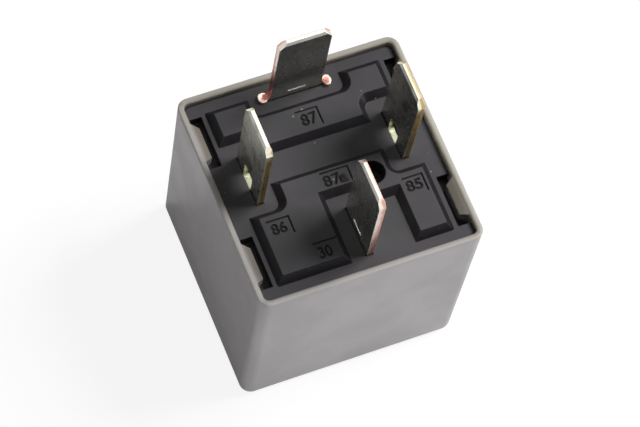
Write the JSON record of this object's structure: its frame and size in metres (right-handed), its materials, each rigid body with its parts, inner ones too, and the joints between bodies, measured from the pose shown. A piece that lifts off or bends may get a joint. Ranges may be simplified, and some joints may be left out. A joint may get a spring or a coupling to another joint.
{
  "type": "automotive relay",
  "caption": "Cube-shaped automotive relay with blade terminals, a moulded cover snapped over its base plate, and a hinged-armature switch inside.",
  "frame": {"origin": "middle of the cover's closed face, on which the relay stands", "axes": "+Z along the blades, away from the closed face; +Y from blade 30 to blade 87; +X from blade 86 to blade 85"},
  "size_m": [0.0274, 0.0272, 0.0389],
  "materials": {
    "cover": "satin",
    "base_plate": "satin",
    "terminal_30": "tinned",
    "terminal_87": "tinned",
    "terminal_85": "tinned",
    "terminal_86": "tinned",
    "yoke": "zinc plated",
    "core": "zinc plated",
    "bobbin": "natural moulded nylon",
    "coil_winding": "enamelled copper wire",
    "coil_tape": "gloss film",
    "suppression_resistor": "lacquered",
    "armature": "zinc plated",
    "contact_spring": "rolled bronze",
    "moving_contact": "silver alloy",
    "fixed_contact": "silver alloy",
    "back_stop": "tinned",
    "terminal_rivets": "bright",
    "spring_rivets": "bright",
    "armature_rivets": "bright"
  },
  "bodies": {
    "housing": {"cover": "cover", "base_plate": "base_plate", "terminal_30": "terminal_30", "terminal_87": "terminal_87", "terminal_85": "terminal_85", "terminal_86": "terminal_86", "yoke": "yoke", "core": "core", "bobbin": "bobbin", "coil_winding": "coil_winding", "coil_tape": "coil_tape", "suppression_resistor": "suppression_resistor", "fixed_contact": "fixed_contact", "back_stop": "back_stop", "terminal_rivets": "terminal_rivets", "spring_rivets": "spring_rivets"},
    "armature": {"armature": "armature", "contact_spring": "contact_spring", "moving_contact": "moving_contact", "armature_rivets": "armature_rivets"}
  },
  "joints": [
    {"name": "armature_hinge", "type": "hinge", "parent": "housing", "child": "armature", "pos_m": [0, -0.0114, 0.00559], "axis": [1, 0, 0], "range_deg": [0, 4], "stiffness_Nm_per_rad": 0.02, "springref_deg": -20.05, "deforming": ["contact_spring"]}
  ]
}
